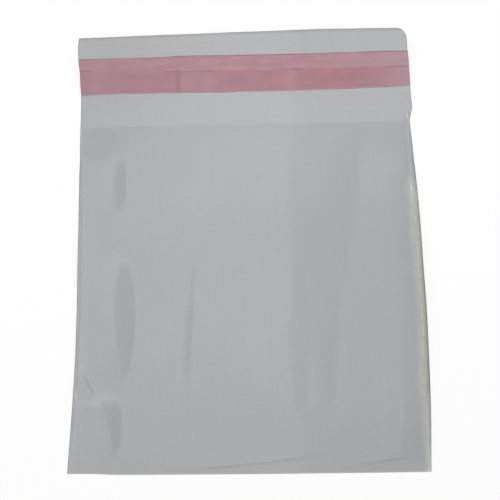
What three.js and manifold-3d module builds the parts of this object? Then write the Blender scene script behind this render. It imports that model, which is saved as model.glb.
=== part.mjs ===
// A self-seal film sleeve for one compact disc, lying on its back with the pocket a little open.
// Millimetres, +Z up. The flap points along +Y, and the origin is under the middle of the sleeve.
import * as THREE from "three";
import { mergeVertices } from "three/addons/utils/BufferGeometryUtils.js";
import Module from "manifold-3d";

// Driving sizes of the film pouch.
const SLEEVE_WIDTH = 130;
const POCKET_DEPTH = 131; // from the bottom fold up to the mouth
const FLAP_REACH = 36; // from the mouth to the flap's free edge
const FILM = 0.04; // thickness of the film
const WELD_WIDTH = 2.5; // band along each side where both panels are melted together
const FOLD_WIDTH = 0.5; // crease along the bottom where the panels lie flat together
const FLAP_CORNER_RADIUS = 3.5; // the one rounded corner, on the right

// How the relaxed sleeve lies.
const POCKET_RISE = 5.5; // front panel over back panel, at the middle of the mouth
const POCKET_SQUARENESS = 10; // power of the panel's arch: higher is flatter on top, steeper at the sides
const MOUTH_DRAWBACK = 2.2; // how far the lifted middle of the mouth draws back behind its welded ends
const FLAP_LIFT = 5; // curl of the flap's free edge above the table
const SIDE_BOW = 1.6; // sideways bow of the pocket, to the right

// The adhesive and the tape that covers it.
const LINER_INSET = 7.5; // from the flap's free edge to the tape
const DRY_MARGIN = 5.8; // part of the tape that covers no adhesive, for lifting it
const ADHESIVE_WIDTH = 9;
const ADHESIVE_THICKNESS = 0.02;
const LINER_THICKNESS = 0.05;

// How finely the curved surfaces are cut into flat facets.
const POCKET_COLUMNS = 18;
const POCKET_ROWS = 16;
const FLAP_ROWS_PER_BAND = 4;
const CORNER_STEPS = 8;

// Places along the sleeve, from the bottom fold to the flap's free edge.
const bottom = -(POCKET_DEPTH + FLAP_REACH) / 2;
const mouth = bottom + POCKET_DEPTH;
const flapEnd = mouth + FLAP_REACH;
const linerTop = flapEnd - LINER_INSET;
const adhesiveTop = linerTop - DRY_MARGIN;
const adhesiveFoot = adhesiveTop - ADHESIVE_WIDTH;

// Places across the sleeve.
const side = SLEEVE_WIDTH / 2;
const weldEdge = side - WELD_WIDTH;

// The two films melt halfway into each other at the welds and along the bottom crease.
const meltedSeat = FILM / 2;

const wasm = await Module();
wasm.setup();

// Evenly spaced places from start to end, both included.
function spread(start, end, count) {
  return Array.from({ length: count + 1 }, (_, i) => start + ((end - start) * i) / count);
}

// Places across the pocket and up from its fold, closer together where the front panel bends most.
function pocketColumns() {
  return spread(-Math.PI / 2, Math.PI / 2, POCKET_COLUMNS).map((angle) => weldEdge * Math.sin(angle));
}
function pocketRows() {
  const depth = POCKET_DEPTH - FOLD_WIDTH;
  return spread(Math.PI / 2, 0, POCKET_ROWS).map((angle) => mouth - depth * Math.sin(angle));
}

// Sideways shift of the film at a place along the sleeve, balanced about the middle line.
function sideShift(y) {
  const along = THREE.MathUtils.clamp((y - bottom) / POCKET_DEPTH, 0, 1);
  return SIDE_BOW * (Math.sin(Math.PI * along) - 0.5);
}

// The back film's underside: flat under the pocket, curling up along the flap.
function onBack(x, y) {
  const along = Math.max(0, (y - mouth) / FLAP_REACH);
  return new THREE.Vector3(x, y, FLAP_LIFT * along ** 2);
}

// The front film's underside: seated at the welds and the fold, arched in between.
function onFront(x, y) {
  const across = Math.min(1, Math.abs(x) / weldEdge);
  const down = Math.min(1, (mouth - y) / (POCKET_DEPTH - FOLD_WIDTH));
  const arch = 1 - across ** POCKET_SQUARENESS;
  const openness = arch * (1 - down ** POCKET_SQUARENESS);
  const drawback = MOUTH_DRAWBACK * arch * (1 - down);
  return new THREE.Vector3(x, y - drawback, meltedSeat + POCKET_RISE * openness);
}

// A thin closed sheet over a grid of places on a surface, its underside raised by a seat height.
function sheet(xs, ys, surface, seat, thickness) {
  const columns = xs.length - 1;
  const rows = ys.length - 1;
  const geometry = new THREE.BoxGeometry(columns, rows, 1, columns, rows, 1);
  const points = geometry.attributes.position;
  for (let i = 0; i < points.count; i += 1) {
    const x = xs[Math.round(points.getX(i) + columns / 2)];
    const y = ys[Math.round(points.getY(i) + rows / 2)];
    const place = surface(x, y);
    const height = points.getZ(i) > 0 ? seat + thickness : seat;
    points.setXYZ(i, place.x + sideShift(y), place.y, place.z + height);
  }
  return weldedPoints(geometry);
}

// The same geometry with each shared corner stored once.
function weldedPoints(geometry) {
  geometry.deleteAttribute("normal");
  geometry.deleteAttribute("uv");
  return mergeVertices(geometry);
}

function toSolid(geometry) {
  const vertProperties = new Float32Array(geometry.attributes.position.array);
  const triVerts = new Uint32Array(geometry.index.array);
  return new wasm.Manifold(new wasm.Mesh({ numProp: 3, vertProperties, triVerts }));
}

function toGeometry(solid) {
  const mesh = solid.getMesh();
  const geometry = new THREE.BufferGeometry();
  geometry.setAttribute("position", new THREE.BufferAttribute(mesh.vertProperties, mesh.numProp));
  geometry.setIndex(new THREE.BufferAttribute(mesh.triVerts, 1));
  return geometry;
}

// What is trimmed away outside the round of the flap's right corner.
function cornerTrim() {
  const x = side + sideShift(flapEnd);
  const margin = FLAP_CORNER_RADIUS;
  const outline = new THREE.Shape();
  outline.moveTo(x, flapEnd - FLAP_CORNER_RADIUS);
  outline.absarc(x - FLAP_CORNER_RADIUS, flapEnd - FLAP_CORNER_RADIUS, FLAP_CORNER_RADIUS, 0, Math.PI / 2);
  outline.lineTo(x - FLAP_CORNER_RADIUS, flapEnd + margin);
  outline.lineTo(x + margin, flapEnd + margin);
  outline.lineTo(x + margin, flapEnd - FLAP_CORNER_RADIUS);
  const depth = FLAP_LIFT + 2 * margin;
  const settings = { depth, bevelEnabled: false, curveSegments: CORNER_STEPS };
  const geometry = new THREE.ExtrudeGeometry(outline, settings);
  geometry.translate(0, 0, -margin);
  return weldedPoints(geometry);
}

const panelRows = [bottom, ...pocketRows()];
const adhesiveRows = spread(adhesiveFoot, adhesiveTop, FLAP_ROWS_PER_BAND);
const marginRows = spread(adhesiveTop, linerTop, FLAP_ROWS_PER_BAND);
const linerRows = [...adhesiveRows, ...marginRows.slice(1)];
const flapRows = [
  ...spread(mouth, adhesiveFoot, FLAP_ROWS_PER_BAND),
  ...linerRows.slice(1),
  ...spread(linerTop, flapEnd, FLAP_ROWS_PER_BAND).slice(1),
];
const fullWidth = [-side, side];

// One folded and side-welded film: the long back panel with its flap, and the shorter front panel.
function filmPouch() {
  const backRows = [...panelRows, ...flapRows.slice(1)];
  const frontColumns = [-side, ...pocketColumns(), side];
  const back = toSolid(sheet(fullWidth, backRows, onBack, 0, FILM));
  const front = toSolid(sheet(frontColumns, panelRows, onFront, 0, FILM));
  return toGeometry(back.add(front).subtract(toSolid(cornerTrim())));
}

function adhesiveStrip() {
  return sheet(fullWidth, adhesiveRows, onBack, FILM, ADHESIVE_THICKNESS);
}

// The tape lies on the adhesive, and its dry margin runs on at the same height above the film.
function releaseLiner() {
  return sheet(fullWidth, linerRows, onBack, FILM + ADHESIVE_THICKNESS, LINER_THICKNESS);
}

function part(name, geometry, color, roughness, opacity) {
  const transparent = opacity < 1;
  const look = { color, roughness, metalness: 0, opacity, transparent };
  const mesh = new THREE.Mesh(geometry, new THREE.MeshStandardMaterial(look));
  mesh.name = name;
  return mesh;
}

const sleeve = new THREE.Group();
sleeve.name = "cd_sleeve";
sleeve.add(part("film_pouch", filmPouch(), 0xb0b2b3, 0.25, 0.7));
sleeve.add(part("adhesive_strip", adhesiveStrip(), 0xb58d95, 0.3, 0.5));
sleeve.add(part("release_liner", releaseLiner(), 0xb58a93, 0.45, 0.9));

export default sleeve;
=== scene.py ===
# %% [markdown]
# # A film sleeve for one compact disc
# The real sleeve is one strip of thin clear film. It is folded at the bottom, welded along both sides,
# and left longer at the back, where the extra length is a flap with a band of adhesive under a pink
# peel-off tape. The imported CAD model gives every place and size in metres. This lesson dresses it: the
# film, its welds, the adhesive and the tape are made again as fine meshes, in the same frame, and given
# their finishes.

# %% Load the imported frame
import math

import bpy
import numpy as np
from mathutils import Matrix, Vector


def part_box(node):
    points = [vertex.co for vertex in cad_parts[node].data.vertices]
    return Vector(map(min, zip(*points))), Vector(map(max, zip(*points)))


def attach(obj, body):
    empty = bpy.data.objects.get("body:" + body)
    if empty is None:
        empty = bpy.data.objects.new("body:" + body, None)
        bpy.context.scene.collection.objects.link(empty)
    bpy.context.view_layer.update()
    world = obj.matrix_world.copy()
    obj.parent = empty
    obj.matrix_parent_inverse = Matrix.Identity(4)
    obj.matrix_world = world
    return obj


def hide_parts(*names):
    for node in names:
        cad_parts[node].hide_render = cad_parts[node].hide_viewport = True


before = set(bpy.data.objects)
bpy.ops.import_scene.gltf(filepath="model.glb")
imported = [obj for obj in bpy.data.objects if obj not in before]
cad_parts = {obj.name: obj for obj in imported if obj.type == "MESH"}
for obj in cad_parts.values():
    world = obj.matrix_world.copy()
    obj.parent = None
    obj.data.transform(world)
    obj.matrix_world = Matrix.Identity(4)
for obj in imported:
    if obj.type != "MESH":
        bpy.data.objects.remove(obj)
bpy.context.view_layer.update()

MM = 0.001
print("CAD nodes:", sorted(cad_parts))

# %% [markdown]
# ## Sizes
# Most places can be measured on the CAD nodes, so they are read from their boxes and not typed again.
# Only the values that no box shows are repeated here from the part's own driving sizes.

# %% Read the sizes
film_low, film_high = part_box("film_pouch")
tape_low, tape_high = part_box("release_liner")
glue_low, glue_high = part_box("adhesive_strip")

FILM = 0.04 * MM
POCKET_DEPTH = 131 * MM
WELD_WIDTH = 2.5 * MM
FOLD_WIDTH = 0.5 * MM
FLAP_LIFT = 5 * MM
FLAP_CORNER_RADIUS = 3.5 * MM

bottom = film_low.y
mouth = bottom + POCKET_DEPTH
flap_end = film_high.y
flap_reach = flap_end - mouth
half_width = (tape_high.x - tape_low.x) / 2
weld_edge = half_width - WELD_WIDTH
side_bow = film_high.x - tape_high.x
print(f"sleeve {2 * half_width / MM:.1f} mm wide, {(flap_end - bottom) / MM:.1f} mm long,")
print(f"flap {flap_reach / MM:.1f} mm, tape {(tape_high.y - tape_low.y) / MM:.1f} mm wide")

# %% [markdown]
# ## Camera
# The photograph looks almost straight down, from a little below the middle of the sleeve and a little to
# its right. A camera can be aimed with a constraint, but a plain place and rotation say the same thing
# with nothing left to evaluate. They come from fitting the sleeve's outline to the picture, with an
# ordinary 50 mm lens.

# %% Place the camera
CAMERA_PLACE = (10.71 * MM, -50.18 * MM, 257.52 * MM)
CAMERA_TURN = (10.455, 2.274, -0.648)
camera_data = bpy.data.cameras.new("photo_camera")
camera_data.lens = 50
camera_data.sensor_width = 36
camera_data.clip_start = 0.01
camera = bpy.data.objects.new("photo_camera", camera_data)
camera.location = CAMERA_PLACE
camera.rotation_euler = [math.radians(angle) for angle in CAMERA_TURN]
scene = bpy.context.scene
scene.collection.objects.link(camera)
scene.camera = camera
scene.view_settings.view_transform = "Standard"
print("camera height, mm:", round(camera.location.z / MM, 1))

# %% [markdown]
# ## Node helpers
# Shader trees and geometry trees are built the same way: add a node, set its values, link its sockets. A
# few small helpers keep that readable, because a value that is a socket is linked and any other value is
# set.

# %% Helpers for node trees
def feed(tree, socket, value):
    if isinstance(value, bpy.types.NodeSocket):
        tree.links.new(value, socket)
    else:
        socket.default_value = value


def add_node(tree, kind, settings=None, **inputs):
    node = tree.nodes.new(kind)
    for name, value in (settings or {}).items():
        setattr(node, name, value)
    for name, value in inputs.items():
        feed(tree, node.inputs[name.replace("_", " ")], value)
    return node


def calculate(tree, operation, *values):
    node = tree.nodes.new("ShaderNodeMath")
    node.operation = operation
    for socket, value in zip(node.inputs, values):
        feed(tree, socket, value)
    return node.outputs[0]


def parts_of(tree, vector):
    """The three parts of a vector, as sockets."""
    return add_node(tree, "ShaderNodeSeparateXYZ", Vector=vector).outputs


def new_material(name):
    material = bpy.data.materials.new(name)
    material.use_nodes = True
    tree = material.node_tree
    tree.nodes.clear()
    output = tree.nodes.new("ShaderNodeOutputMaterial")
    return material, tree, output


# %% [markdown]
# ## Floor and light
# The floor is a plain white sheet. Part of its brightness is fixed for rays from the camera, so the
# background stays white at the edges, and the rest is ordinary diffuse white, which keeps the sleeve's
# soft shadow.

# %% Make the floor
FLOOR_SIZE = 6.0
FLOOR_GLOW = 0.78
floor_material, tree, output = new_material("white_floor")
path = tree.nodes.new("ShaderNodeLightPath")
matte = add_node(tree, "ShaderNodeBsdfDiffuse", Color=(0.98, 0.98, 0.98, 1))
glow = add_node(tree, "ShaderNodeEmission", Color=(1, 1, 1, 1), Strength=1.0)
share = calculate(tree, "MULTIPLY", path.outputs["Is Camera Ray"], FLOOR_GLOW)
blend = tree.nodes.new("ShaderNodeMixShader")
tree.links.new(share, blend.inputs[0])
tree.links.new(matte.outputs[0], blend.inputs[1])
tree.links.new(glow.outputs[0], blend.inputs[2])
tree.links.new(blend.outputs[0], output.inputs["Surface"])

reach = FLOOR_SIZE / 2
floor_corners = [(-reach, -reach, 0), (reach, -reach, 0), (reach, reach, 0), (-reach, reach, 0)]
floor_mesh = bpy.data.meshes.new("floor")
floor_mesh.from_pydata(floor_corners, [], [(0, 1, 2, 3)])
floor_mesh.materials.append(floor_material)
floor = bpy.data.objects.new("floor", floor_mesh)
scene.collection.objects.link(floor)
FLOOR_GAP = 0.02 * MM
floor.location.z = -FLOOR_GAP
print("floor:", FLOOR_SIZE, "m square")

# %% [markdown]
# The world is white for the camera and for reflections, and gives only a low fill light. Clear film shows
# little colour of its own and a lot of what it mirrors, so the lamps are placed by what the film should
# mirror. A large softbox hangs above on the left, a little dimmer outwards and in front. A panel beside
# it fades out to the right, and the flat film on the right mirrors that. A fold that leans further to the
# right mirrors the plain room past both, and looks darker. A lamp beyond the flap lights the sleeve from
# its mouth, so the lip throws no shadow. Where a lamp's brightness varies, a small node tree reads the
# place on the lamp, from 0 to 1 each way.

# %% Set up the room
FILL_LIGHT = 0.225
world = bpy.data.worlds.new("studio")
scene.world = world
world.use_nodes = True
tree = world.node_tree
tree.nodes.clear()
path = tree.nodes.new("ShaderNodeLightPath")
seen = calculate(tree, "MAXIMUM", path.outputs["Is Camera Ray"], path.outputs["Is Glossy Ray"])
seen = calculate(tree, "MAXIMUM", seen, path.outputs["Is Transmission Ray"])
strength = calculate(tree, "MULTIPLY_ADD", seen, 1 - FILL_LIGHT, FILL_LIGHT)
sky = add_node(tree, "ShaderNodeBackground", Color=(1, 1, 1, 1), Strength=strength)
output = tree.nodes.new("ShaderNodeOutputWorld")
tree.links.new(sky.outputs[0], output.inputs["Surface"])
print("fill light:", FILL_LIGHT)


# %% Helpers for lamps
def softbox(name, low, high, height, brightness):
    """A rectangular lamp that faces straight down, between two corners seen in plan."""
    width, depth = high[0] - low[0], high[1] - low[1]
    lamp = bpy.data.lights.new(name, "AREA")
    lamp.shape = "RECTANGLE"
    lamp.size = width
    lamp.size_y = depth
    lamp.energy = brightness * math.pi * width * depth
    holder = bpy.data.objects.new(name, lamp)
    holder.location = ((low[0] + high[0]) / 2, (low[1] + high[1]) / 2, height)
    scene.collection.objects.link(holder)
    print(f"{name}: {width:.2f} x {depth:.2f} m, {lamp.energy:.2f} W")
    return lamp


def span(tree, value, start, end):
    """0 before start, 1 after end, eased between them."""
    node = add_node(tree, "ShaderNodeMapRange", {"interpolation_type": "SMOOTHSTEP"}, Value=value)
    node.inputs["From Min"].default_value = start
    node.inputs["From Max"].default_value = end
    return node.outputs[0]


def grade(lamp, share_at):
    """Let a function of the place on a lamp say what share of its brightness it has there."""
    lamp.use_nodes = True
    tree = lamp.node_tree
    tree.nodes.clear()
    spot = tree.nodes.new("ShaderNodeNewGeometry").outputs["Parametric"]
    across, along, _ = parts_of(tree, spot)
    glow = add_node(tree, "ShaderNodeEmission", Color=(1, 1, 1, 1), Strength=share_at(tree, across, along))
    tree.links.new(glow.outputs[0], tree.nodes.new("ShaderNodeOutputLight").inputs["Surface"])


# %% Hang the lamps
LAMP_HEIGHT = 1.2
LEFT_DIMMING = 0.2
FRONT_DIMMING = 0.16
LEFT_FADE = (0.955, 0.874)
FRONT_FADE = (0.37, 0.23)
LAMP_EDGE = 0.062


def dimmer_outwards(tree, across, along):
    share = calculate(tree, "MULTIPLY_ADD", span(tree, across, *LEFT_FADE), -LEFT_DIMMING, 1.0)
    return calculate(tree, "MULTIPLY_ADD", span(tree, along, *FRONT_FADE), -FRONT_DIMMING, share)


def fading_right(tree, across, along):
    return calculate(tree, "SUBTRACT", 1.0, across)


grade(softbox("softbox_left", (-4.0, -1.2), (LAMP_EDGE, 1.8), LAMP_HEIGHT, 1.55), dimmer_outwards)
grade(softbox("panel_right", (LAMP_EDGE, -1.2), (0.5, 1.8), LAMP_HEIGHT, 0.86), fading_right)
softbox("lamp_beyond_flap", (0.25, 0.38), (0.8, 0.8), 0.5, 6.2)

# %% [markdown]
# ## How the film lies
# The back film lies flat on the table and curls up along the flap. The front film leaves the welds in a
# tight bend, then eases over a soft shoulder, and settles towards the mouth and the bottom fold. The CAD
# part holds its pocket open at the mouth, so that a disc has room. Here the film has settled, as it does
# when a sleeve lies empty. These rules are written for whole arrays of places at once.

# %% Rules for the film
def bow(y):
    along = np.clip((y - bottom) / POCKET_DEPTH, 0, 1)
    return side_bow * (np.sin(np.pi * along) - 0.5)


def flap_height(y):
    return FLAP_LIFT * (np.maximum(0, y - mouth) / flap_reach) ** 2


CUT_EDGE = 0.2 * MM
FILM_RISE = 4.6 * MM
WALL_SHARE = 0.5
WALL_BEND = 0.9 * MM
SHOULDER_BEND = 3.5 * MM
FOOT_SQUARENESS = 4
LIP_SAG = 0.92
LIP_RUN = 45 * MM
MOUTH_DRAWBACK = 0.29 * MM


def ease(t):
    t = np.clip(t, 0, 1)
    return t * t * (3 - 2 * t)


def pocket_arch(x):
    """Share of the full rise across the pocket: a tight bend at each weld, then a soft shoulder."""
    from_weld = np.maximum(0, half_width - CUT_EDGE - np.abs(x))
    wall = WALL_SHARE * np.exp(-from_weld / WALL_BEND)
    shoulder = (1 - WALL_SHARE) * np.exp(-from_weld / SHOULDER_BEND)
    return 1 - wall - shoulder


def way_down(y):
    return np.clip((mouth - y) / (POCKET_DEPTH - FOLD_WIDTH), 0, 1)


def openness(x, y):
    """How far the panels stand apart, from 0 at the welds and the fold to 1 in the middle of the pocket."""
    sag = 1 - LIP_SAG * ease((y - mouth) / LIP_RUN + 1)
    return pocket_arch(x) * (1 - way_down(y) ** FOOT_SQUARENESS) * sag


def mouth_drawback(x, y):
    return MOUTH_DRAWBACK * pocket_arch(x) * (1 - way_down(y))


print("pocket height at its middle, mm:", round(float(FILM_RISE * openness(0.0, 0.0)) / MM, 2))

# %% [markdown]
# A cut edge of thin film is never quite straight. The sides wander by a few tenths of a millimetre, and
# they are drawn in where the welds end at the mouth. Each edge gets a short list of (place along it,
# drift), and a smooth curve through the list moves the whole width of the film with its edges.

# %% Drift of the cut edges
LEFT_DRIFT = [(-83.5, 0.05), (-60, 0.18), (-42, 0.2), (-30, 0), (-5, -0.35), (12, -0.2), (26, 0), (36, 0.3),
              (49, 0.55), (59, 0.6), (68.7, 0.08), (76, -0.4), (80, -0.4), (83.5, 0.1)]
RIGHT_DRIFT = [(-83.5, 0.05), (-64, 0.3), (-29, 0.12), (-8, -0.2), (17, -0.22), (36, -0.6), (45, -0.88),
               (47.8, -0.8), (50, -0.1), (52.3, 0.5), (54.5, 0.42), (56.5, 0.25), (58.5, 0.15), (63, 0.05),
               (70, -0.2), (77, -0.8), (83.5, -1.3)]
TOP_DRIFT = [(-65, -0.35), (-27, 0), (3, 0.25), (33, 0.45), (46, 0.25), (65, 0)]
BOTTOM_DRIFT = [(-65, 0.28), (-57, 0.2), (-45, -0.2), (3, -0.2), (38, 0), (65, 0.17)]


def drift(table, place):
    """The drift at a place, eased from one entry of the table to the next."""
    stations = np.array(table) * MM
    index = np.clip(np.searchsorted(stations[:, 0], place) - 1, 0, len(stations) - 2)
    start, end = stations[index], stations[index + 1]
    step = ease((place - start[..., 0]) / (end[..., 0] - start[..., 0]))
    return start[..., 1] + (end[..., 1] - start[..., 1]) * step


def in_plan(x, y):
    """Where a place on the flat film lies in plan, with the bow, the drifts and the rounded corner."""
    corner_x = (x - half_width) / FLAP_CORNER_RADIUS + 1
    corner_y = (y - flap_end) / FLAP_CORNER_RADIUS + 1
    in_corner = (corner_x > 0) & (corner_y > 0)
    u = np.where(in_corner, corner_x, 0)
    v = np.where(in_corner, corner_y, 0)
    round_x = (u * np.sqrt(1 - v * v / 2) - u) * FLAP_CORNER_RADIUS
    round_y = (v * np.sqrt(1 - u * u / 2) - v) * FLAP_CORNER_RADIUS
    across = (x + half_width) / (2 * half_width)
    along = (y - bottom) / (flap_end - bottom)
    sideways = drift(LEFT_DRIFT, y) * (1 - across) + drift(RIGHT_DRIFT, y) * across
    endways = drift(BOTTOM_DRIFT, x) * (1 - along) ** 4 + drift(TOP_DRIFT, x) * along ** 4
    return x + bow(y) + sideways + round_x, y + endways + round_y


left_at_mouth = in_plan(np.array([-half_width]), np.array([mouth]))[0][0]
print("left edge at the mouth, mm:", round(float(left_at_mouth) / MM, 2))

# %% [markdown]
# ## Folds in the front panel
# Handling leaves long soft folds in the front film. A cloth simulation could make some, but not the ones
# in the picture, so each is drawn along a line of places. A lean is a band of film that drops
# from left to right, as wide as its line says. A ramp is a wider band that rises evenly from a sharper
# edge on its right, which its line follows, to the left, and the line gives the band's width and how soft
# its left edge is. A bend is a ridge, or a valley if its height is below zero, with a crease at its
# middle. Each place is given across and along the sleeve in millimetres, and its sizes there follow. The
# short slopes are what the light picks out.

# %% Draw the folds
LEANS = {
    "slender": (0.15, [(-18.9, 6, 2), (-19.6, -6, 2), (-20.8, -16, 1.6), (-22.2, -30, 2.8), (-22.8, -44, 2.8),
                       (-23.4, -62, 2)]),
    "dimple": (0.05, [(18.2, -9, 2.5), (18.2, -31, 2.5)]),
    "low_dimple": (0.038, [(18.2, -37, 2.5), (18.2, -64, 2.5)]),
    "low_streak": (0.038, [(28.4, -32, 2.5), (28.4, -66, 2.5)]),
}
RAMPS = {
    "upper_left": (0.27, 0.4, [(-46.6, 44, 4.5, 2), (-46.2, 33, 4.7, 2), (-45.7, 25, 5.5, 2),
                               (-45.7, 17, 5.7, 2), (-47, 11.8, 4.7, 2), (-49.2, 3, 3.5, 1.5)]),
    "middle_left": (0.22, 0.15, [(-47, -2, 1.5, 1), (-46.2, -5.5, 2.6, 1), (-43.7, -10, 5.2, 1),
                                 (-42.1, -16.4, 7.7, 1), (-41.6, -27.5, 8.5, 1), (-41.9, -36, 7.5, 1),
                                 (-42.9, -43, 5.1, 1), (-44.7, -50.3, 2.1, 1), (-45.3, -55, 1.4, 1)]),
    "hook": (0.28, 0.15, [(-49.5, -55, 6, 1), (-48.4, -56.8, 7.2, 1), (-46.4, -59.4, 7.7, 1),
                          (-45.8, -61.7, 7, 0.8), (-45.5, -67.8, 5.1, 0.8), (-45.8, -71.6, 4.2, 0.8),
                          (-46.7, -76.3, 2.5, 0.6), (-48.2, -80.5, 1.8, 0.5), (-49.2, -84, 1.5, 0.5)]),
    "hook_tail": (0.5, 0.2, [(-61, -45.5, 2, 0.4), (-57.9, -51.5, 2.1, 0.4), (-54.3, -58, 2, 0.4)]),
}
BENDS = {
    "broad": [(47, 62, -0.94, 10, 32), (44.9, 43, -0.94, 10, 32), (42.6, 20, -0.94, 10, 32),
              (38, 0, -0.85, 10, 30), (34, -20, -0.76, 10, 28), (31.5, -34.5, -0.67, 10, 26),
              (30.5, -55, -0.57, 10, 24), (29.9, -75, -0.48, 10, 20)],
    "right_shoulder": [(58.3, 40, 0.18, 14, 8), (57.9, 9, 0.2, 14, 8), (55.5, -34, 0.23, 14, 8),
                       (54.5, -72, 0.52, 14, 8), (54, -125, 0.52, 14, 8)],
}
FOLD_FADE = 0.3
RAMP_EDGE = 0.4 * MM
RAMP_RETURN = 5 * MM
BEND_ROUNDNESS = 1.1
CREASES = {
    "long": (0.25, 0.6, 4, [(-31, -83), (-17.5, -81.5), (4.5, -79.4), (28.2, -76.6), (34, -75.9)]),
    "short": (0.22, 0.6, 3, [(36.5, -80.6), (42, -80), (50, -78.9), (58, -77.8)]),
}

print("folds:", ", ".join([*LEANS, *RAMPS, *BENDS, *CREASES]))


# %% Rules for the folds
def along_line(run_along, line, fade):
    """The values that a line's places give at any place along it, and how far a fold has risen there."""
    points = np.array(sorted(line)) * MM
    values = [np.interp(run_along, points[:, 0], column) for column in points[:, 1:].T]
    run = (run_along - points[0, 0]) / (points[-1, 0] - points[0, 0])
    return values, ease(run / fade) * ease((1 - run) / fade)


def lengthwise(line):
    """A line that runs along the sleeve, with the place along it first."""
    return [(place[1], place[0], *place[2:]) for place in line]


def lean_fold(x, y, slope, line):
    (middle, width), fade = along_line(y, lengthwise(line), FOLD_FADE)
    offset = x - middle
    return -slope * fade * offset * np.exp(-((offset / width) ** 2) / 2)


def ramp_fold(x, y, slope, fade_share, line):
    (right, width, left_edge), fade = along_line(y, lengthwise(line), fade_share)
    from_right = x - right
    from_left = from_right + width
    fall = (np.hypot(from_left, left_edge) - np.hypot(from_right, RAMP_EDGE)) / 2
    return slope * fade * (width / 2 - fall) * np.exp(-np.maximum(0, -from_left) / RAMP_RETURN)


def bend_fold(run_along, across, line):
    (middle, height, near, far), fade = along_line(run_along, line, FOLD_FADE)
    offset = across - middle
    width = np.where(offset < 0, near, far)
    return height * fade * np.exp(-np.abs(offset / width) ** BEND_ROUNDNESS)


def folds(x, y):
    total = sum(lean_fold(x, y, slope, line) for slope, line in LEANS.values())
    total = total + sum(ramp_fold(x, y, *ramp) for ramp in RAMPS.values())
    return total + sum(bend_fold(y, x, lengthwise(line)) for line in BENDS.values())


def creases(x, y):
    lines = [[(*place, *shape) for place in line] for *shape, line in CREASES.values()]
    return sum(bend_fold(x, y, line) for line in lines)


sample = np.meshgrid(np.linspace(-weld_edge, weld_edge, 90), np.linspace(bottom, mouth, 90))
deepest = float(folds(*sample).min())
print("deepest fold, mm:", round(deepest / MM, 2))

# %% [markdown]
# The height of the front film is now the open pocket plus its folds. A fold needs room under it, so it
# fades out where the panels come together. The right corner of the mouth is drawn up along the weld.

# %% Place the front film
TOUCHING = 0.012 * MM
FOLD_ROOM = 0.3
CREASE_ROOM = 0.08
CORNER_RISE = 3.8 * MM
CORNER_RUN = 14 * MM
CORNER_WIDTH = 2.5 * MM
MOUTH_DRIFT = [(-65, 0.25), (-20, 0), (3, -0.15), (35, -0.4), (56, -0.5), (65, -0.3)]


def front_lift(x, y):
    """How high the front film stands over the back film."""
    apart = openness(x, y)
    lift = FILM_RISE * apart + folds(x, y) * ease(apart / FOLD_ROOM)
    lift = lift + creases(x, y) * ease(apart / CREASE_ROOM)
    return np.maximum(lift, TOUCHING)


def front_place(x, y):
    """Where the outside of the front film lies."""
    plan_x, plan_y = in_plan(x, y)
    near_mouth = ease((y - mouth) / CORNER_RUN + 1)
    corner = CORNER_RISE * ease(1 - (half_width - x) / CORNER_WIDTH)
    front_y = plan_y - mouth_drawback(x, y) + (corner + drift(MOUTH_DRIFT, x)) * near_mouth
    return plan_x, front_y, flap_height(front_y) + 2 * FILM + front_lift(x, y)


lip_height = float(front_place(np.array([0.0]), np.array([mouth]))[2][0])
print("lip height at the middle of the mouth, mm:", round(lip_height / MM, 2))

# %% [markdown]
# ## The film pouch
# The pouch could be two sheets with a Solidify modifier, but the films are one solid where they are
# melted together, and a solidified sheet can't branch. So the skin is built directly on one grid of
# places: the underside, the outside of the front panel, both inner faces of the pocket, the flap and the
# thin rims.

# %% Lay out the grid
def stations(*spans):
    """Places along an axis: each span is (start, end, steps, power); a power over 1 crowds its start."""
    parts = []
    for start, end, steps, power in spans:
        share = np.linspace(0, 1, steps + 1)[:-1]
        share = share ** power if power > 0 else 1 - (1 - share) ** -power
        parts.append(start + (end - start) * share)
    return np.append(np.concatenate(parts), spans[-1][1])


FLANK = 12.5 * MM
LEFT_FOLDS_END = -40 * MM
FOOT = 9.5 * MM
EDGE_ROW = 0.3 * MM
flank_edge = weld_edge - FLANK
melted_edge = half_width - CUT_EDGE
columns = stations((-half_width, -melted_edge, 1, 1), (-melted_edge, -weld_edge, 7, 1.5),
                   (-weld_edge, LEFT_FOLDS_END, 40, 1.15), (LEFT_FOLDS_END, flank_edge, 84, 1),
                   (flank_edge, weld_edge, 16, -1.3), (weld_edge, melted_edge, 7, -1.5),
                   (melted_edge, half_width, 1, 1))
rows = stations((bottom, bottom + CUT_EDGE, 1, 1), (bottom + CUT_EDGE, bottom + FOOT, 26, 1),
                (bottom + FOOT, mouth - EDGE_ROW, 108, 1), (mouth - EDGE_ROW, mouth, 1, 1),
                (mouth, flap_end - EDGE_ROW, 32, 1), (flap_end - EDGE_ROW, flap_end, 1, 1))
left_seam, right_seam = 1, len(columns) - 2
fold_row, last_row = 1, len(rows) - 1
mouth_row = int(np.argmin(np.abs(rows - mouth)))
print(len(columns), "columns,", len(rows), "rows; mouth at", round(rows[mouth_row] / MM, 2), "mm")

# %% Heights of the four skins
X, Y = np.meshgrid(columns, rows)
plan_x, plan_y = in_plan(X, Y)
under = flap_height(plan_y)
front_x, front_y, front_z = front_place(X, np.minimum(Y, mouth))
skins = {
    "under": np.dstack([plan_x, plan_y, under]),
    "floor": np.dstack([plan_x, plan_y, under + FILM]),
    "ceiling": np.dstack([front_x, front_y, front_z - FILM]),
    "outer": np.dstack([front_x, front_y, front_z]),
}
print("highest place of the front panel, mm:", round(float(front_z.max()) / MM, 2))
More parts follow.
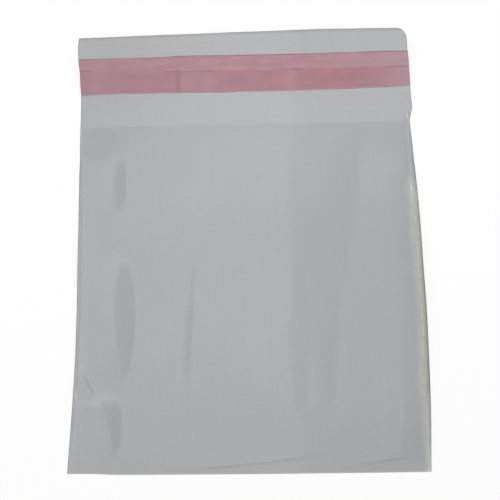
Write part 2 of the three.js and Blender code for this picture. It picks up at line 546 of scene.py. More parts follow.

# %% [markdown]
# Painted shade darkens the film in a thin line along its cut edges, and in a wider band along the right
# edge, where the front film stands steeply up from the weld. The right weld is painted white along its
# lower part, partly as whitened film and partly as a painted highlight on its crest, and one little white
# speck by the left edge is a painted glint. Both are kept as attributes of the mesh's corners, so that
# they move with the film.

# %% Mark the painted edge shade and the white weld band
LINE_WIDTH = 0.5 * MM
LIP_EDGE_SHADE = 0.15
LIP_END = 6 * MM
# Painted shade: the width of the dark band along the right edge, widest where the film stands steeply up.
SHADED_RIM_WIDTH = [(-83.5, 0.4), (-66, 0.5), (-54, 1.5), (-35, 2.0), (0, 1.8), (22, 1.0), (36, 0.5),
             (44, 0.2), (54, 0.2), (60, 0.4), (83.5, 0.4)]
WELD_LINES = {
    "left_weld": [(-83.5, -64.5), (83.5, -64.5)],
    "right_weld": [(-82, 64.3), (-70.5, 63.4), (-63, 63.1), (-52, 62.1), (-33, 62.6), (1, 62.5), (21, 63.1),
                   (40, 63.6), (47.5, 64.2)],
}
# Below this height the right weld is painted white: partly whitened film, partly a painted highlight.
WHITE_FROM = (27 * MM, 19 * MM)
WHITE_BAND_WIDTH = [(-83.5, 1.2), (-52, 1.7), (-20, 1.4), (5, 1.8), (27, 2.1)]
# Painted glint: a little white speck by the left edge.
GLINT_PLACE = (-63.6 * MM, -55.7 * MM)
GLINT_SIZE = (0.6 * MM, 1.0 * MM)


def edge_shade(x, y):
    """Painted shade: 1 on a cut edge, falling to 0 across a thin line, and across a wider band on the right.
    """
    from_left = (x + half_width) / LINE_WIDTH
    from_right = (half_width - x) / drift(SHADED_RIM_WIDTH, y)
    from_end = (flap_end - y) / LINE_WIDTH
    return 1 - ease(np.minimum(np.minimum(from_left, from_right), from_end))


def white_band_and_glint(x, y):
    """1 on the right weld's white band, partly painted highlight, and on a painted glint by the left weld."""
    offset = (x - drift(WELD_LINES["right_weld"], y)) / drift(WHITE_BAND_WIDTH, y)
    start, end = WHITE_FROM
    band = ease((start - y) / (start - end)) * np.exp(-offset ** 2)
    from_glint = np.hypot((x - GLINT_PLACE[0]) / GLINT_SIZE[0], (y - GLINT_PLACE[1]) / GLINT_SIZE[1])
    return band + np.exp(-from_glint ** 2)


row_of, column_of = np.indices(X.shape)
back_edges = edge_shade(X, Y)
# Painted shade along the lip of the mouth, fading out at its right corner.
lip_edges = np.where(row_of == mouth_row, LIP_EDGE_SHADE * ease((half_width - X) / LIP_END), 0)
front_edges = np.maximum(back_edges, lip_edges)
edges = {"under": back_edges, "floor": back_edges, "ceiling": front_edges, "outer": front_edges}
whites_and_glints = {name: white_band_and_glint(X, Y) if name == "outer" else np.zeros(X.shape) for name in skins}
print("places on a dark edge line:", int((back_edges > 0.5).sum()))

# %% Number the corners
corner_places, corner_edges, corner_whites_and_glints = [], [], []
numbers = {name: np.full(X.shape, -1) for name in skins}


def number(name, wanted):
    numbers[name][wanted] = len(corner_places) + np.arange(wanted.sum())
    corner_places.extend(skins[name][wanted])
    corner_edges.extend(edges[name][wanted])
    corner_whites_and_glints.extend(whites_and_glints[name][wanted])


pocket_rows = (row_of >= fold_row) & (row_of <= mouth_row)
in_pocket = pocket_rows & (column_of >= left_seam) & (column_of <= right_seam)
seam = in_pocket & ((column_of == left_seam) | (column_of == right_seam) | (row_of == fold_row))
number("under", np.ones(X.shape, bool))
number("floor", in_pocket | (row_of >= mouth_row))
number("outer", row_of <= mouth_row)
number("ceiling", in_pocket & ~seam)
numbers["ceiling"][seam] = numbers["floor"][seam]
print(len(corner_places), "corners")

# %% Join the corners into faces
faces = []


def skin(name, row_range, column_range, upwards):
    grid = numbers[name]
    for j in range(*row_range):
        for i in range(*column_range):
            face = [grid[j, i], grid[j, i + 1], grid[j + 1, i + 1], grid[j + 1, i]]
            faces.append(face if upwards else face[::-1])


def rim(lower, upper):
    """A strip between two rows of corners, facing right as it is walked with the lower row underfoot."""
    for k in range(len(lower) - 1):
        faces.append([lower[k], lower[k + 1], upper[k + 1], upper[k]])


every_column = (0, len(columns) - 1)
pocket_columns = (left_seam, right_seam)
skin("under", (0, last_row), every_column, False)
skin("outer", (0, mouth_row), every_column, True)
skin("floor", (fold_row, mouth_row), pocket_columns, True)
skin("ceiling", (fold_row, mouth_row), pocket_columns, False)
skin("floor", (mouth_row, last_row), every_column, True)

lowest, inner, outer, roof = (numbers[name] for name in ("under", "floor", "outer", "ceiling"))
below_mouth = mouth_row - 1
rim(lowest[0, :], outer[0, :])
rim(lowest[last_row, ::-1], inner[last_row, ::-1])
rim(lowest[:mouth_row, -1], outer[:mouth_row, -1])
rim(lowest[mouth_row:, -1], inner[mouth_row:, -1])
rim(lowest[below_mouth::-1, 0], outer[below_mouth::-1, 0])
rim(lowest[:below_mouth:-1, 0], inner[:below_mouth:-1, 0])
faces.append([lowest[below_mouth, -1], lowest[mouth_row, -1], inner[mouth_row, -1], outer[mouth_row, -1],
              outer[below_mouth, -1]])
faces.append([lowest[mouth_row, 0], lowest[below_mouth, 0], outer[below_mouth, 0], outer[mouth_row, 0],
              inner[mouth_row, 0]])
between_seams = (column_of[mouth_row] > left_seam) & (column_of[mouth_row] < right_seam)
mouth_lip = np.where(between_seams, roof[mouth_row], inner[mouth_row])
rim(mouth_lip[::-1], outer[mouth_row, ::-1])
print(len(faces), "faces")

# %% [markdown]
# A closed skin has exactly two faces at every edge. It is quick to test here, and worth it, because a
# stray face or a hole would show in the model. The same helper is used for every piece of the sleeve.

# %% Turn the faces into a piece
SHARP_ANGLE = math.radians(40)


def check_closed(mesh):
    edge_uses = {}
    for polygon in mesh.polygons:
        for key in polygon.edge_keys:
            edge_uses[key] = edge_uses.get(key, 0) + 1
    open_edges = sum(1 for uses in edge_uses.values() if uses != 2)
    triangles = sum(len(polygon.vertices) - 2 for polygon in mesh.polygons)
    print(f"{mesh.name}: {len(mesh.vertices)} corners, {triangles} triangles, {open_edges} open edges")


def finish_mesh(mesh):
    mesh.update()
    mesh.polygons.foreach_set("use_smooth", [True] * len(mesh.polygons))
    mesh.set_sharp_from_angle(angle=SHARP_ANGLE)
    check_closed(mesh)


def place_piece(name, mesh):
    piece = bpy.data.objects.new(name, mesh)
    scene.collection.objects.link(piece)
    return piece


pouch_mesh = bpy.data.meshes.new("sleeve_film")
pouch_faces = [[int(corner) for corner in face] for face in faces]
pouch_mesh.from_pydata([tuple(place) for place in corner_places], [], pouch_faces)
for mark, values in (("painted_edge_shade", corner_edges), ("white_and_highlight", corner_whites_and_glints)):
    pouch_mesh.attributes.new(mark, "FLOAT", "POINT").data.foreach_set("value", np.array(values, float))
finish_mesh(pouch_mesh)
pouch = place_piece("sleeve_film", pouch_mesh)

# %% [markdown]
# ## The film's finish
# Thin plastic film is clear, glossy and faintly uneven: cloudy over a hand's width, with a fine grain,
# and streaks along the direction it was drawn in. Its colour also carries painted shade, darker towards
# the upper left and in a patch below the left end of the mouth, and painted light, lighter towards the
# upper right. Here it looks mid-grey. Each layer is a closed skin with two faces, so hiding a good part
# at each face lets only a little of what is behind one layer through. The marks on the mesh paint shade
# along its cut edges, and white along the right weld, partly whitened film and partly a painted highlight.

# %% Helpers for finishes
def mix_colour(tree, share, first, second):
    node = tree.nodes.new("ShaderNodeMix")
    node.data_type = "RGBA"
    feed(tree, node.inputs[0], share)
    feed(tree, node.inputs[6], first)
    feed(tree, node.inputs[7], second)
    return node.outputs[2]


def noise(tree, place, scale, detail):
    return add_node(tree, "ShaderNodeTexNoise", Vector=place, Scale=scale, Detail=detail).outputs["Fac"]


def stretched_noise(tree, place, scale, detail):
    """Noise with its own scale along each axis."""
    moved = add_node(tree, "ShaderNodeMapping", Vector=place, Scale=scale)
    return noise(tree, moved.outputs[0], 1.0, detail)


def two_tones(tree, share, *stops):
    """A colour ramp between two stops, each a place on the ramp and a colour."""
    ramp = add_node(tree, "ShaderNodeValToRGB", Fac=share)
    for element, (position, colour) in zip(ramp.color_ramp.elements, stops):
        element.position = position
        element.color = colour
    return ramp.outputs["Color"]


# %% Make the film material
FILM_LIGHT = (0.490, 0.494, 0.506, 1)
FILM_DARK = (0.421, 0.423, 0.432, 1)
FILM_EDGE_SHADE = (0.235, 0.242, 0.218, 1)
# Painted shade: the film is painted darker towards the upper left, over these spans.
SHADED_ACROSS = (-5 * MM, -62 * MM)
SHADED_ALONG = (-45 * MM, 75 * MM)
PAINTED_SHADE_TONE = -0.45
# Painted light: the film is painted lighter towards the upper right, over these spans.
LIT_ACROSS = (12 * MM, 60 * MM)
LIT_ALONG = (38 * MM, 78 * MM)
PAINTED_LIGHT_TONE = 0.25
# Painted shade: a darker patch just below the left end of the mouth.
SHADE_PATCH_PLACE = (-57.5 * MM, 39.5 * MM, 0.0)
SHADE_PATCH_SIZE = (15 * MM, 9.5 * MM, 1.0)
SHADE_PATCH_TONE = -0.42
FILM_WHITE_HIGHLIGHT = (0.69, 0.70, 0.645, 1)
FILM_ALPHA = 0.77
CLOUD_SHARE = 0.5
STREAK_SHARE = 0.15
GRAIN_SHARE = 0.35
film_material, tree, output = new_material("clear_film")
place = tree.nodes.new("ShaderNodeTexCoord").outputs["Object"]
clouds = noise(tree, place, 22.0, 3.0)
streaks = stretched_noise(tree, place, (900.0, 25.0, 25.0), 2.0)
grain = noise(tree, place, 1400.0, 1.0)
uneven = calculate(tree, "MULTIPLY", streaks, STREAK_SHARE)
uneven = calculate(tree, "MULTIPLY_ADD", clouds, CLOUD_SHARE, uneven)
uneven = calculate(tree, "MULTIPLY_ADD", grain, GRAIN_SHARE, uneven)
spot_x, spot_y, _ = parts_of(tree, place)
# Painted shade towards the upper left.
thick = calculate(tree, "MULTIPLY", span(tree, spot_x, *SHADED_ACROSS), span(tree, spot_y, *SHADED_ALONG))
# Painted light towards the upper right.
lit_patch = calculate(tree, "MULTIPLY", span(tree, spot_x, *LIT_ACROSS), span(tree, spot_y, *LIT_ALONG))
# Painted shade patch below the left end of the mouth.
shade_patch_mapping = add_node(tree, "ShaderNodeMapping", {"vector_type": "TEXTURE"}, Vector=place, Location=SHADE_PATCH_PLACE,
                 Scale=SHADE_PATCH_SIZE)
from_shade_patch = add_node(tree, "ShaderNodeVectorMath", {"operation": "LENGTH"}, Vector=shade_patch_mapping.outputs[0])
in_shade_patch = span(tree, from_shade_patch.outputs["Value"], 1.0, 0.0)
for place_share, change in ((thick, PAINTED_SHADE_TONE), (lit_patch, PAINTED_LIGHT_TONE), (in_shade_patch, SHADE_PATCH_TONE)):
    uneven = calculate(tree, "MULTIPLY_ADD", place_share, change, uneven)
tone = two_tones(tree, uneven, (0.0, FILM_DARK), (0.7, FILM_LIGHT))
at_edge = add_node(tree, "ShaderNodeAttribute", {"attribute_name": "painted_edge_shade"})
# Painted shade along the cut edges, and in the wider band on the steep film by the right weld.
colour = mix_colour(tree, at_edge.outputs["Fac"], tone, FILM_EDGE_SHADE)
# White along the right weld, partly whitened film and partly a painted highlight, and a painted glint.
white_mark = add_node(tree, "ShaderNodeAttribute", {"attribute_name": "white_and_highlight"}).outputs["Fac"]
crumbs = noise(tree, place, 330.0, 2.0)
white_share = calculate(tree, "MULTIPLY", white_mark, calculate(tree, "MULTIPLY_ADD", crumbs, 1.2, 0.2))
colour = mix_colour(tree, white_share, colour, FILM_WHITE_HIGHLIGHT)
gloss = calculate(tree, "MULTIPLY_ADD", streaks, 0.04, 0.035)
bump = add_node(tree, "ShaderNodeBump", Strength=0.1, Distance=0.001 * MM, Height=streaks)
film = add_node(tree, "ShaderNodeBsdfPrincipled", Base_Color=colour, Roughness=gloss,
                IOR=1.5, Alpha=FILM_ALPHA, Normal=bump.outputs[0])
tree.links.new(film.outputs[0], output.inputs["Surface"])
pouch_mesh.materials.append(film_material)
print("film material:", len(tree.nodes), "nodes")

# %% [markdown]
# ## The welds
# A hot toothed blade cuts the sides and melts both films together, which leaves a thin raised bead with a
# row of small whitened crimps on the bend of the film. They repeat along a path, so Geometry Nodes make
# them: the guide is a line down one side, a flat profile is swept along it for the bead, leaning with the
# bend, and one small crimp is repeated at an even pitch. The right weld strays inwards below the middle,
# and the left one hugs the edge.

# %% Draw the guide lines
GUIDE_PLACES = 126
GUIDE_START = 6 * MM
SLOPE_STEP = 0.3 * MM


def weld_guide(name):
    """A line of places down one weld, each with the lean of the film there."""
    along = np.linspace(bottom + GUIDE_START, mouth, GUIDE_PLACES)
    across = drift(WELD_LINES[name], along)
    places = np.column_stack(front_place(across, along))
    rise = front_lift(across + SLOPE_STEP, along) - front_lift(across - SLOPE_STEP, along)
    lean = -np.arctan(rise / (2 * SLOPE_STEP))
    guide = bpy.data.meshes.new(f"{name}_guide")
    guide.from_pydata(places.tolist(), [(k, k + 1) for k in range(len(places) - 1)], [])
    guide.attributes.new("lean", "FLOAT", "POINT").data.foreach_set("value", lean)
    print(name, "guide:", len(places), "places, mean lean", round(float(np.degrees(lean).mean()), 1))
    return guide


# %% Helpers for geometry trees
def geometry_tree(name, inputs):
    """An empty geometry tree with named inputs, and the input and output nodes."""
    tree = bpy.data.node_groups.new(name, "GeometryNodeTree")
    tree.interface.new_socket(name="Geometry", in_out="INPUT", socket_type="NodeSocketGeometry")
    for label, kind in inputs.items():
        tree.interface.new_socket(name=label, in_out="INPUT", socket_type="NodeSocket" + kind)
    tree.interface.new_socket(name="Geometry", in_out="OUTPUT", socket_type="NodeSocketGeometry")
    given = tree.nodes.new("NodeGroupInput").outputs
    result = tree.nodes.new("NodeGroupOutput").inputs["Geometry"]
    return tree, given, result


def join(tree, *pieces):
    both = tree.nodes.new("GeometryNodeJoinGeometry")
    for piece in pieces:
        tree.links.new(piece, both.inputs[0])
    return both.outputs[0]


def dress(tree, geometry, material, result):
    """End a tree: its instances become real, and the geometry gets its material."""
    real = add_node(tree, "GeometryNodeRealizeInstances", Geometry=geometry)
    dressed = add_node(tree, "GeometryNodeSetMaterial", Geometry=real.outputs[0], Material=material)
    tree.links.new(dressed.outputs[0], result)


# %% Sweep the bead
weld_tree, given, result = geometry_tree("weld_crimps", {
    "Bead Width": "Float", "Bead Height": "Float", "Crimp Pitch": "Float", "Crimp Length": "Float",
    "Crimp Width": "Float", "Crimp Height": "Float", "Unevenness": "Float", "Seed": "Int",
    "Material": "Material"})
lines = add_node(weld_tree, "GeometryNodeMeshToCurve", Mesh=given["Geometry"])
upright = add_node(weld_tree, "GeometryNodeSetCurveNormal", {"mode": "Z_UP"}, Curve=lines.outputs[0])
spot = weld_tree.nodes.new("GeometryNodeInputPosition").outputs[0]
lean = add_node(weld_tree, "GeometryNodeInputNamedAttribute", {"data_type": "FLOAT"}, Name="lean")
leaning = add_node(weld_tree, "GeometryNodeSetCurveTilt", Curve=upright.outputs[0],
                   Tilt=lean.outputs["Attribute"])
circle = add_node(weld_tree, "GeometryNodeCurvePrimitiveCircle", Resolution=12, Radius=0.5)
across = calculate(weld_tree, "MULTIPLY", parts_of(weld_tree, spot)["X"], 2.0)
marked = add_node(weld_tree, "GeometryNodeStoreNamedAttribute", {"data_type": "FLOAT", "domain": "POINT"},
                  Geometry=circle.outputs[0], Name="across_bead", Value=across)
flat = add_node(weld_tree, "ShaderNodeCombineXYZ", X=given["Bead Width"], Y=given["Bead Height"], Z=1.0)
profile = add_node(weld_tree, "GeometryNodeTransform", Geometry=marked.outputs[0], Scale=flat.outputs[0])
bead = add_node(weld_tree, "GeometryNodeCurveToMesh", Curve=leaning.outputs[0], Fill_Caps=True)
weld_tree.links.new(profile.outputs[0], bead.inputs["Profile Curve"])
print("bead:", len(weld_tree.nodes), "nodes")

# %% Repeat the crimps
dots = add_node(weld_tree, "GeometryNodeCurveToPoints", {"mode": "LENGTH"}, Curve=leaning.outputs[0],
                Length=given["Crimp Pitch"])
crimp = add_node(weld_tree, "GeometryNodeMeshUVSphere", Segments=8, Rings=5, Radius=0.5)
size = add_node(weld_tree, "ShaderNodeCombineXYZ", X=given["Crimp Width"], Y=given["Crimp Height"],
                Z=given["Crimp Length"])
small = calculate(weld_tree, "SUBTRACT", 1.0, given["Unevenness"])
chance = add_node(weld_tree, "FunctionNodeRandomValue", {"data_type": "FLOAT"}, Seed=given["Seed"])
weld_tree.links.new(small, chance.inputs[2])
chance.inputs[3].default_value = 1.0
varied = add_node(weld_tree, "ShaderNodeVectorMath", {"operation": "SCALE"}, Scale=chance.outputs[1])
weld_tree.links.new(size.outputs[0], varied.inputs[0])
crimps = add_node(weld_tree, "GeometryNodeInstanceOnPoints", Points=dots.outputs["Points"],
                  Instance=crimp.outputs["Mesh"], Rotation=dots.outputs["Rotation"], Scale=varied.outputs[0])
dress(weld_tree, join(weld_tree, bead.outputs[0], crimps.outputs[0]), given["Material"], result)
print("weld tree:", len(weld_tree.nodes), "nodes")

# %% [markdown]
# Melted film is whiter and less glossy than clear film, so the beads have a finish of their own. The
# right weld is white along its middle, below the upper third, and at its very top: partly whitened film
# and partly a painted highlight on the crest of the bead. The left one stayed clear, apart from a few
# white specks. The tree stores how far across the bead a place is, and the white fades out towards its
# sides.

# %% Make the weld material
WELD_CLEAR = (0.47, 0.476, 0.48, 1)
WELD_DULL = (0.58, 0.585, 0.54, 1)
WELD_WHITE = (0.70, 0.705, 0.65, 1)
WHITE_TIP = (48.0 * MM, 48.9 * MM)
weld_material, tree, output = new_material("melted_film")
place = tree.nodes.new("ShaderNodeTexCoord").outputs["Object"]
spot_x, spot_y, _ = parts_of(tree, place)
grain = noise(tree, place, 500.0, 2.0)
specks = noise(tree, place, 160.0, 1.0)
# Painted highlight on the right bead, with whitened film: below the upper third and at the very top.
stretch = calculate(tree, "MAXIMUM", span(tree, spot_y, *WHITE_FROM), span(tree, spot_y, *WHITE_TIP))
whitened_and_highlit = calculate(tree, "MULTIPLY", span(tree, spot_x, -0.01, 0.01), stretch)
whitened_and_highlit = calculate(tree, "MAXIMUM", whitened_and_highlit, span(tree, specks, 0.66, 0.72))
across = add_node(tree, "ShaderNodeAttribute", {"attribute_name": "across_bead"}).outputs["Fac"]
middle = span(tree, calculate(tree, "ABSOLUTE", across), 0.95, 0.4)
white = mix_colour(tree, span(tree, grain, 0.3, 0.7), WELD_DULL, WELD_WHITE)
colour = mix_colour(tree, calculate(tree, "MULTIPLY", whitened_and_highlit, middle), WELD_CLEAR, white)
matt = calculate(tree, "MULTIPLY_ADD", grain, 0.2, 0.2)
weld_shader = add_node(tree, "ShaderNodeBsdfPrincipled", Base_Color=colour, Roughness=matt, IOR=1.5,
                       Alpha=FILM_ALPHA)
tree.links.new(weld_shader.outputs[0], output.inputs["Surface"])
print("weld material:", len(tree.nodes), "nodes")

# %% [markdown]
# A modifier runs the tree on each guide line. The result is kept as a plain mesh and the modifier is
# taken off, so that nothing is left to evaluate later. Each weld has its own sizes and its own seed.

# %% Run the tree and keep a plain mesh
def grow(name, host_mesh, tree, values):
    """Run a geometry tree on a mesh with its inputs set, and return the result as a plain piece."""
    piece = place_piece(name, host_mesh)
    modifier = piece.modifiers.new(tree.name, "NODES")
    modifier.node_group = tree
    sockets = {item.name: item.identifier for item in tree.interface.items_tree if item.in_out == "INPUT"}
    for label, value in values.items():
        modifier[sockets[label]] = value
    evaluated = piece.evaluated_get(bpy.context.evaluated_depsgraph_get())
    made = bpy.data.meshes.new_from_object(evaluated)
    made.name = name
    piece.modifiers.remove(modifier)
    piece.data = made
    finish_mesh(made)
    return piece


right_weld = grow("right_weld", weld_guide("right_weld"), weld_tree, {
    "Bead Width": 1.3 * MM, "Bead Height": 0.14 * MM, "Crimp Pitch": 1.9 * MM, "Crimp Length": 1.3 * MM,
    "Crimp Width": 1.0 * MM, "Crimp Height": 0.2 * MM, "Unevenness": 0.6, "Seed": 7,
    "Material": weld_material})
left_weld = grow("left_weld", weld_guide("left_weld"), weld_tree, {
    "Bead Width": 0.5 * MM, "Bead Height": 0.08 * MM, "Crimp Pitch": 1.6 * MM, "Crimp Length": 0.9 * MM,
    "Crimp Width": 0.4 * MM, "Crimp Height": 0.1 * MM, "Unevenness": 0.5, "Seed": 4,
    "Material": weld_material})

# %% [markdown]
# ## The adhesive
# The adhesive is a soft clear layer, thinner than the film and laid on the flap in one pass. It is a
# closed strip between two heights. Its long edges wander a little, because it is spread wet.

# %% Lay the adhesive
GLUE_THICKNESS = 0.02 * MM
GLUE_WANDER = 0.15 * MM
CLEARANCE = 0.003 * MM


def wander(x, scale, phase):
    """A gentle irregular wave along an edge, between -1 and 1."""
    return 0.6 * np.sin(x * scale + phase) + 0.4 * np.sin(x * scale * 2.7 + 2.1 * phase)


def grid_quads(shape):
    """The corner numbers of a grid, and its quads as lists of those numbers."""
    grid = np.arange(math.prod(shape)).reshape(shape)
    quads = np.stack([grid[:-1, :-1], grid[:-1, 1:], grid[1:, 1:], grid[1:, :-1]], -1)
    return grid, quads.reshape(-1, 4).tolist()


def strip_mesh(name, plan_x, plan_y, low, high):
    """A closed strip over a grid of places, between two grids of heights."""
    lower = np.dstack([plan_x, plan_y, low]).reshape(-1, 3)
    upper = np.dstack([plan_x, plan_y, high]).reshape(-1, 3)
    grid, quads = grid_quads(plan_x.shape)
    above = len(lower)
    polygons = [quad[::-1] for quad in quads]
    polygons += [[corner + above for corner in quad] for quad in quads]
    border = np.concatenate([grid[0, :], grid[1:, -1], grid[-1, -2::-1], grid[-2:0:-1, 0]]).tolist()
    for start, end in zip(border, border[1:] + border[:1]):
        polygons.append([start, end, end + above, start + above])
    mesh = bpy.data.meshes.new(name)
    mesh.from_pydata(np.concatenate([lower, upper]).tolist(), [], polygons)
    finish_mesh(mesh)
    return mesh


def flap_band(foot, foot_drift, top, top_drift, columns_count, rows_count, edge_wander, phase):
    """Places in plan over a band of the flap whose long edges drift and wander, and its flat coordinates."""
    x, share = np.meshgrid(np.linspace(-half_width, half_width, columns_count), np.linspace(0, 1, rows_count))
    low = foot + drift(foot_drift, x) + edge_wander * wander(x, 110, phase)
    high = top + drift(top_drift, x) + edge_wander * wander(x, 90, phase + 1.3)
    y = low + (high - low) * share
    return in_plan(x, y), x, y


FOOT_DRIFT = [(-65, -0.35), (-50, -0.05), (-32, -0.2), (-10, -0.65), (5, -0.75), (40, -0.65),
              (52, -0.35), (65, 0.15)]
GLUE_TOP_DRIFT = [(-65, 0.5), (-50, -0.5), (-32, -0.95), (0, -1.3), (28, -1.55), (50, -1.3), (65, -1.1)]
(glue_x, glue_y), _, _ = flap_band(glue_low.y, FOOT_DRIFT, glue_high.y, GLUE_TOP_DRIFT, columns_count=120,
                                   rows_count=12, edge_wander=GLUE_WANDER, phase=0.4)
glue_base = flap_height(glue_y) + FILM + CLEARANCE
glue_mesh = strip_mesh("adhesive_band", glue_x, glue_y, glue_base, glue_base + GLUE_THICKNESS)
glue = place_piece("adhesive_band", glue_mesh)

# %% [markdown]
# ## The peel-off tape
# The tape covers the adhesive and runs past its upper edge, where a dry margin is left for lifting it. It
# follows the curl of the flap by a rule, so it is grown by Geometry Nodes from its flat plan: a height
# from the flap's curl, a dry margin that stands off a little, fine ripples, one cross crease, and then
# its thickness. The plan carries an attribute with three distances for each place: from the tape's foot,
# past the adhesive, and to its top.

# %% Lay the tape on the flap
tape_tree, given, result = geometry_tree("tape_on_flap", {
    "Mouth": "Float", "Flap Reach": "Float", "Flap Lift": "Float", "Seat": "Float", "Thickness": "Float",
    "Margin Run": "Float", "Margin Lift": "Float", "Ripple": "Float",
    "Crease Place": "Float", "Crease Width": "Float", "Crease Height": "Float", "Seed": "Float",
    "Material": "Material"})
spot = tape_tree.nodes.new("GeometryNodeInputPosition").outputs[0]
xyz = parts_of(tape_tree, spot)
past_mouth = calculate(tape_tree, "SUBTRACT", xyz["Y"], given["Mouth"])
along = calculate(tape_tree, "DIVIDE", past_mouth, given["Flap Reach"])
curl = calculate(tape_tree, "MULTIPLY", calculate(tape_tree, "POWER", along, 2.0), given["Flap Lift"])
height = calculate(tape_tree, "ADD", curl, given["Seat"])
marked = add_node(tape_tree, "GeometryNodeInputNamedAttribute", {"data_type": "FLOAT_VECTOR"},
                  Name="tape_place")
into_margin = parts_of(tape_tree, marked.outputs["Attribute"])["Y"]
margin = add_node(tape_tree, "ShaderNodeMapRange", {"interpolation_type": "SMOOTHSTEP"},
                  Value=calculate(tape_tree, "DIVIDE", into_margin, given["Margin Run"])).outputs[0]
height = calculate(tape_tree, "MULTIPLY_ADD", margin, given["Margin Lift"], height)
print("tape on the flap:", len(tape_tree.nodes), "nodes")

# %% Ripple and crease the tape
RIPPLE_SCALE = (70.0, 260.0, 0.0)
STUCK_RIPPLE = 0.15
ripple_place = add_node(tape_tree, "ShaderNodeVectorMath", {"operation": "MULTIPLY"})
tape_tree.links.new(spot, ripple_place.inputs[0])
ripple_place.inputs[1].default_value = RIPPLE_SCALE
waves = add_node(tape_tree, "ShaderNodeTexNoise", {"noise_dimensions": "4D"}, W=given["Seed"], Scale=1.0,
                 Detail=2.0, Vector=ripple_place.outputs[0])
loose = calculate(tape_tree, "MULTIPLY_ADD", margin, 1 - STUCK_RIPPLE, STUCK_RIPPLE)
ripple = calculate(tape_tree, "MULTIPLY", waves.outputs[0], loose)
ripple = calculate(tape_tree, "MULTIPLY", ripple, given["Ripple"])
height = calculate(tape_tree, "ADD", height, ripple)
from_crease = calculate(tape_tree, "SUBTRACT", xyz["X"], given["Crease Place"])
from_crease = calculate(tape_tree, "DIVIDE", from_crease, given["Crease Width"])
squared = calculate(tape_tree, "POWER", calculate(tape_tree, "ABSOLUTE", from_crease), 2.0)
bell = calculate(tape_tree, "EXPONENT", calculate(tape_tree, "MULTIPLY", squared, -1.0))
height = calculate(tape_tree, "MULTIPLY_ADD", bell, given["Crease Height"], height)
print("ripples and crease:", len(tape_tree.nodes), "nodes")

# %% Give the tape its thickness
raised = add_node(tape_tree, "ShaderNodeCombineXYZ", X=0.0, Y=0.0, Z=height)
laid = add_node(tape_tree, "GeometryNodeSetPosition", Geometry=given["Geometry"], Offset=raised.outputs[0])
thick = add_node(tape_tree, "GeometryNodeExtrudeMesh", {"mode": "FACES"}, Mesh=laid.outputs[0],
                 Offset=(0.0, 0.0, 1.0), Offset_Scale=given["Thickness"], Individual=False)
underside = add_node(tape_tree, "GeometryNodeFlipFaces", Mesh=laid.outputs[0])
both = join(tape_tree, thick.outputs[0], underside.outputs[0])
closed = add_node(tape_tree, "GeometryNodeMergeByDistance", Geometry=both, Distance=1e-6)
dress(tape_tree, closed.outputs[0], given["Material"], result)
print("tape tree:", len(tape_tree.nodes), "nodes")

# %% [markdown]
# ## Finishes of the tape and the adhesive
# The tape is dyed pink. Where it is stuck down the adhesive wets it and the pink is deeper, with blotches
# where the contact is best, and the dry margin is paler. The adhesive's upper edge shows as a thin darker
# line here and there, and the cross crease is darkened with painted shade. A thin painted shadow of the
# lifted margin runs here and there along the tape's top edge, and along its foot the pink is thin and
# greyish.

# %% Mix the tape's pinks
TAPE_DRY = (0.452, 0.226, 0.280, 1)
TAPE_PALE = (0.500, 0.272, 0.320, 1)
TAPE_STUCK = (0.392, 0.196, 0.240, 1)
TAPE_WET = (0.470, 0.203, 0.236, 1)
TAPE_HAZE = (0.485, 0.315, 0.350, 1)
TAPE_SHADE = (0.35, 0.186, 0.222, 1)
ZONE_HAZE = 0.5
END_HAZE = 0.7
DRY_HAZE = 0.5
LEFT_SHADE = 0.4
tape_material, tree, output = new_material("pink_tape")
place = tree.nodes.new("ShaderNodeTexCoord").outputs["Object"]
marked = add_node(tree, "ShaderNodeAttribute", {"attribute_name": "tape_place"})
from_foot, past_glue, to_top = parts_of(tree, marked.outputs["Vector"])
blotches = stretched_noise(tree, place, (150.0, 300.0, 1.0), 5.0)
streaks = stretched_noise(tree, place, (110.0, 450.0, 1.0), 4.0)
zones = stretched_noise(tree, place, (60.0, 12.0, 1.0), 1.0)
patchy = stretched_noise(tree, place, (55.0, 10.0, 1.0), 2.0)
stuck = mix_colour(tree, span(tree, blotches, 0.35, 0.68), TAPE_STUCK, TAPE_WET)
dry = mix_colour(tree, span(tree, streaks, 0.35, 0.68), TAPE_DRY, TAPE_PALE)
spot_x = parts_of(tree, place)["X"]
dry_haze = calculate(tree, "MULTIPLY", span(tree, spot_x, 10 * MM, 58 * MM), DRY_HAZE)
dry = mix_colour(tree, dry_haze, dry, TAPE_HAZE)
body = mix_colour(tree, span(tree, past_glue, -0.6 * MM, 0.6 * MM), stuck, dry)
zone_haze = calculate(tree, "MULTIPLY", span(tree, zones, 0.5, 0.75), ZONE_HAZE)
end_haze = calculate(tree, "MULTIPLY", span(tree, spot_x, 44 * MM, 66 * MM), END_HAZE)
body = mix_colour(tree, calculate(tree, "MAXIMUM", zone_haze, end_haze), body, TAPE_HAZE)
left_shade = calculate(tree, "MULTIPLY", span(tree, spot_x, 0.0, -64 * MM), LEFT_SHADE)
body = mix_colour(tree, left_shade, body, TAPE_SHADE)
print("tape's pinks:", len(tree.nodes), "nodes")

# %% Draw the tape's lines and finish its material
TAPE_TOP_SHADOW = (0.25, 0.160, 0.175, 1)
TAPE_FOOT = (0.43, 0.285, 0.325, 1)
TAPE_SEAM_AND_CREASE_SHADE = (0.355, 0.155, 0.168, 1)
EDGE_LINE = (0.55 * MM, 0.1 * MM)
SEAM_LINE = (0.5 * MM, 0.1 * MM)
CREASE_PLACE = -26.7 * MM
CREASE_SHADE = 0.8
CREASE_REACH = 1.9 * MM
CREASE_END = (2.5 * MM, -0.5 * MM)
TAPE_ALPHA = 0.85
at_seam = span(tree, calculate(tree, "ABSOLUTE", past_glue), *SEAM_LINE)
at_seam = calculate(tree, "MULTIPLY", at_seam, span(tree, patchy, 0.45, 0.7))
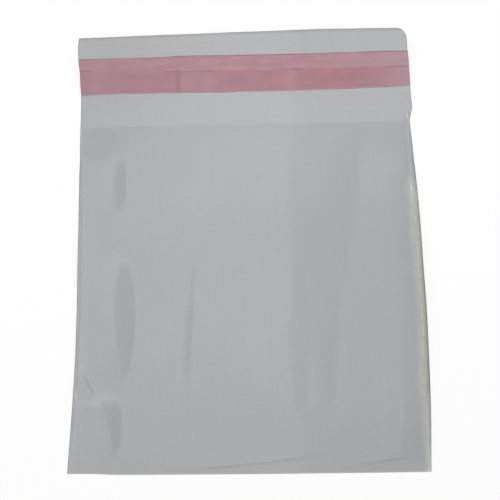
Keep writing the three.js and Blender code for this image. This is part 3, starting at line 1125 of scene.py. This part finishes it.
# Painted shade: the tape is darkened along its cross crease, with the seam's colour.
from_crease = calculate(tree, "ABSOLUTE", calculate(tree, "SUBTRACT", spot_x, CREASE_PLACE))
at_crease = calculate(tree, "MULTIPLY", span(tree, from_crease, CREASE_REACH, 0.0), CREASE_SHADE)
at_crease = calculate(tree, "MULTIPLY", at_crease, span(tree, past_glue, *CREASE_END))
body = mix_colour(tree, calculate(tree, "MAXIMUM", at_seam, at_crease), body, TAPE_SEAM_AND_CREASE_SHADE)
body = mix_colour(tree, span(tree, from_foot, *EDGE_LINE), body, TAPE_FOOT)
# Painted shadow: a thin dark line along the tape's top edge, here and there, for the lifted margin.
top_shadow = calculate(tree, "MULTIPLY", span(tree, to_top, *EDGE_LINE), span(tree, patchy, 0.25, 0.6))
colour = mix_colour(tree, top_shadow, body, TAPE_TOP_SHADOW)
gloss = calculate(tree, "MULTIPLY_ADD", blotches, 0.15, 0.28)
tape_shader = add_node(tree, "ShaderNodeBsdfPrincipled", Base_Color=colour, Roughness=gloss, IOR=1.5,
                       Alpha=TAPE_ALPHA)
tree.links.new(tape_shader.outputs[0], output.inputs["Surface"])
print("tape material:", len(tree.nodes), "nodes")

# %% Make the adhesive material
GLUE_DARK = (0.40, 0.30, 0.32, 1)
GLUE_LIGHT = (0.46, 0.38, 0.40, 1)
GLUE_ALPHA = 0.4
glue_material, tree, output = new_material("soft_adhesive")
place = tree.nodes.new("ShaderNodeTexCoord").outputs["Object"]
cloudy = stretched_noise(tree, place, (80.0, 240.0, 1.0), 3.0)
tone = two_tones(tree, cloudy, (0.3, GLUE_DARK), (0.7, GLUE_LIGHT))
tacky = calculate(tree, "MULTIPLY_ADD", cloudy, 0.2, 0.1)
glue_shader = add_node(tree, "ShaderNodeBsdfPrincipled", Base_Color=tone, Roughness=tacky, IOR=1.47,
                       Alpha=GLUE_ALPHA)
tree.links.new(glue_shader.outputs[0], output.inputs["Surface"])
glue_mesh.materials.append(glue_material)
print("adhesive material:", len(tree.nodes), "nodes")

# %% [markdown]
# The tape is cut a little unevenly, so its plan is laid out with the same helper as the adhesive. The
# tree then lifts the plan onto the flap and gives it its thickness.

# %% Grow the tape
TAPE_THICKNESS = 0.05 * MM
TAPE_WANDER = 0.12 * MM
TAPE_TOP_DRIFT = [(-65, -0.55), (-32, -0.95), (-18, -0.85), (0, -1.15), (14, -1.2), (27, -1.5),
                  (44, -1.35), (65, -1.1)]
(tape_x, tape_y), flat_x, flat_y = flap_band(tape_low.y, FOOT_DRIFT, tape_high.y, TAPE_TOP_DRIFT,
                                             columns_count=161, rows_count=31, edge_wander=TAPE_WANDER,
                                             phase=2.2)
tape_plan = bpy.data.meshes.new("tape_plan")
_, quads = grid_quads(tape_x.shape)
tape_places = np.column_stack([tape_x.ravel(), tape_y.ravel(), np.zeros(tape_x.size)])
tape_plan.from_pydata(tape_places.tolist(), [], quads)
glue_line = glue_high.y + drift(GLUE_TOP_DRIFT, flat_x)
distances = np.dstack([flat_y - flat_y[0], flat_y - glue_line, flat_y[-1] - flat_y])
tape_plan.attributes.new("tape_place", "FLOAT_VECTOR", "POINT").data.foreach_set("vector", distances.ravel())
tape = grow("peel_tape", tape_plan, tape_tree, {
    "Mouth": mouth, "Flap Reach": flap_reach, "Flap Lift": FLAP_LIFT,
    "Seat": FILM + GLUE_THICKNESS + 2 * CLEARANCE, "Thickness": TAPE_THICKNESS,
    "Margin Run": 3 * MM, "Margin Lift": 0.12 * MM, "Ripple": 0.06 * MM,
    "Crease Place": CREASE_PLACE, "Crease Width": 0.8 * MM, "Crease Height": 0.12 * MM, "Seed": 3.0,
    "Material": tape_material})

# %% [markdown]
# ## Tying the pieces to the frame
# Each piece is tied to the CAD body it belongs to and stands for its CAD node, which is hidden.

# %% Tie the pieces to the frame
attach(pouch, "root")
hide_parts("film_pouch")
for piece, node, slot in ((glue, "adhesive_strip", "adhesive"), (tape, "release_liner", "liner")):
    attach(piece, "root")
    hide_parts(node)
for weld in (right_weld, left_weld):
    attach(weld, "root")
